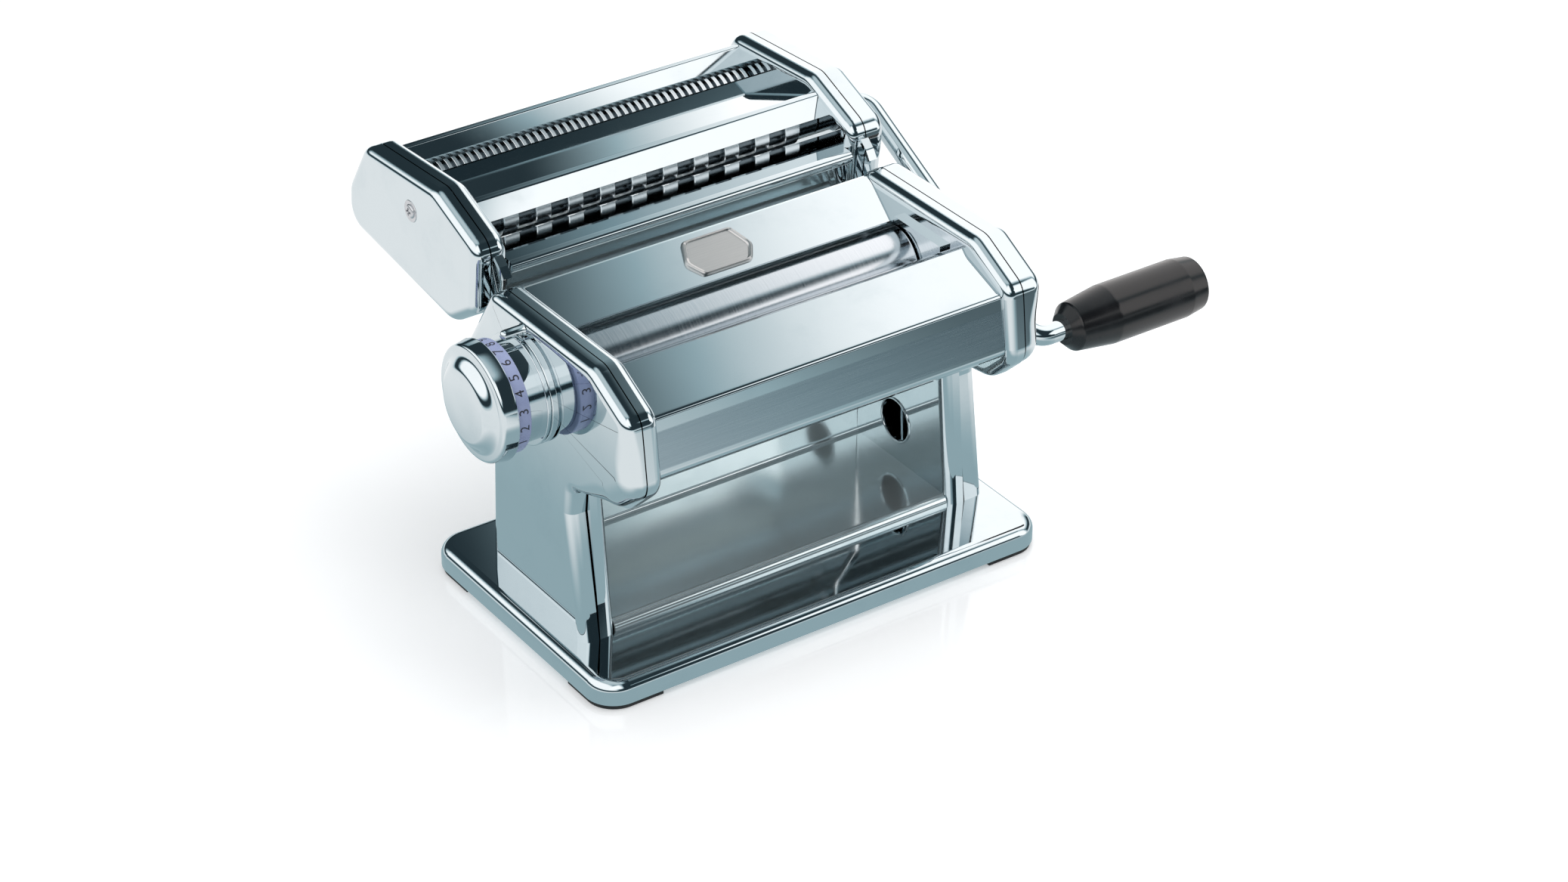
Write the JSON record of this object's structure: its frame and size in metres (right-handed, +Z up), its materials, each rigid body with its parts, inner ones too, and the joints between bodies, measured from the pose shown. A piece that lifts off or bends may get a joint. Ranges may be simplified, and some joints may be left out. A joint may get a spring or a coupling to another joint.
{
  "type": "pasta roller",
  "caption": "Chromed hand-cranked pasta roller with smooth rollers, a side thickness dial, a removable crank and a lift-off cutter head for wide and thin noodles.",
  "frame": {"origin": "on the worktop, below the middle of the base plate", "axes": "+X along the rollers towards the crank, +Y from the front to the back, +Z up"},
  "size_m": [0.2954, 0.1971, 0.1559],
  "materials": {
    "chrome": "polished chrome plate",
    "steel": "plain steel",
    "roller_metal": "satin anodised",
    "feet_rubber": "matt black",
    "grip_plastic": "satin black",
    "ring_plastic": "pale lavender",
    "nylon": "pale grey"
  },
  "bodies": {
    "frame": {"base_plate": "chrome", "foot_pads": "feet_rubber", "left_plate": "chrome", "left_leg": "chrome", "left_cover": "chrome", "right_plate": "chrome", "right_leg": "chrome", "right_cover": "chrome", "floor_panel": "chrome", "back_panel": "steel", "hopper_panel": "chrome", "badge_plate": "chrome", "front_panel": "chrome", "side_guides": "nylon", "tie_rods": "steel", "drive_bushes": "nylon", "roller_scrapers": "nylon", "dial_collar": "chrome", "index_nub": "chrome", "hanger_ears": "steel"},
    "drive_roller": {"drive_roller": "roller_metal", "drive_gear": "steel", "drive_socket": "steel"},
    "gap_carriage": {"gap_carriages": "steel"},
    "gap_roller": {"gap_roller": "roller_metal", "gap_gear": "steel"},
    "dial_spindle": {"dial_spindle": "steel", "dial_cam": "steel", "dial_spring": "steel"},
    "dial_knob": {"dial_knob": "chrome", "number_ring": "ring_plastic"},
    "cutter_frame": {"cutter_left_plate": "chrome", "cutter_left_cover": "chrome", "cutter_right_plate": "chrome", "cutter_right_cover": "chrome", "cutter_screws": "steel", "rear_guard": "chrome", "centre_guide": "chrome", "front_sheet": "chrome", "cutter_hooks": "chrome", "noodle_combs": "nylon", "cutter_bushes": "nylon", "cutter_rail": "steel"},
    "wide_upper": {"wide_upper_roller": "roller_metal", "wide_upper_gear": "steel", "wide_socket": "steel"},
    "wide_lower": {"wide_lower_roller": "roller_metal", "wide_lower_gear": "steel"},
    "thin_upper": {"thin_upper_roller": "roller_metal", "thin_upper_gear": "steel", "thin_socket": "steel"},
    "thin_lower": {"thin_lower_roller": "roller_metal", "thin_lower_gear": "steel"},
    "crank": {"crank_rod": "chrome", "handle_cap": "steel"},
    "grip": {"handle_grip": "grip_plastic"}
  },
  "joints": [
    {"name": "drive_turn", "type": "hinge", "parent": "frame", "child": "drive_roller", "pos_m": [0, -0.02747, 0.104], "axis": [1, 0, 0], "continuous": true},
    {"name": "gap_slide", "type": "slide", "parent": "frame", "child": "gap_carriage", "axis": [0, 1, 0], "range_m": [-0.00047, 0.00374]},
    {"name": "gap_turn", "type": "hinge", "parent": "gap_carriage", "child": "gap_roller", "pos_m": [0, 0.0024, 0.104], "axis": [1, 0, 0], "continuous": true},
    {"name": "dial_turn", "type": "hinge", "parent": "frame", "child": "dial_spindle", "pos_m": [0, 0.0024, 0.104], "axis": [1, 0, 0], "range_deg": [-144, 18]},
    {"name": "dial_pull", "type": "slide", "parent": "dial_spindle", "child": "dial_knob", "axis": [-1, 0, 0], "range_m": [0, 0.004], "stiffness_N_per_m": 600, "deforming": ["dial_spring"]},
    {"name": "cutter_lift", "type": "slide", "parent": "frame", "child": "cutter_frame", "axis": [0, 0, 1], "range_m": [0, 0.04]},
    {"name": "wide_turn", "type": "hinge", "parent": "cutter_frame", "child": "wide_upper", "pos_m": [0, 0.063, 0.1395], "axis": [1, 0, 0], "continuous": true},
    {"name": "wide_lower_turn", "type": "hinge", "parent": "cutter_frame", "child": "wide_lower", "pos_m": [0, 0.05361, 0.12557], "axis": [1, 0, 0], "continuous": true},
    {"name": "thin_turn", "type": "hinge", "parent": "cutter_frame", "child": "thin_upper", "pos_m": [0, 0.107, 0.1334], "axis": [1, 0, 0], "continuous": true},
    {"name": "thin_lower_turn", "type": "hinge", "parent": "cutter_frame", "child": "thin_lower", "pos_m": [0, 0.09245, 0.125], "axis": [1, 0, 0], "continuous": true},
    {"name": "crank_pull", "type": "slide", "parent": "wide_upper", "child": "crank", "axis": [1, 0, 0], "range_m": [0, 0.03]},
    {"name": "grip_spin", "type": "hinge", "parent": "crank", "child": "grip", "pos_m": [0, -0.0475, 0.08368], "axis": [1, 0, 0], "continuous": true}
  ],
  "couplings": [
    {"joint": "gap_slide", "follows": "dial_turn", "m_per_rad": -0.001486},
    {"joint": "gap_turn", "follows": "drive_turn", "ratio": -1},
    {"joint": "wide_lower_turn", "follows": "wide_turn", "ratio": -1},
    {"joint": "thin_lower_turn", "follows": "thin_turn", "ratio": -1}
  ]
}
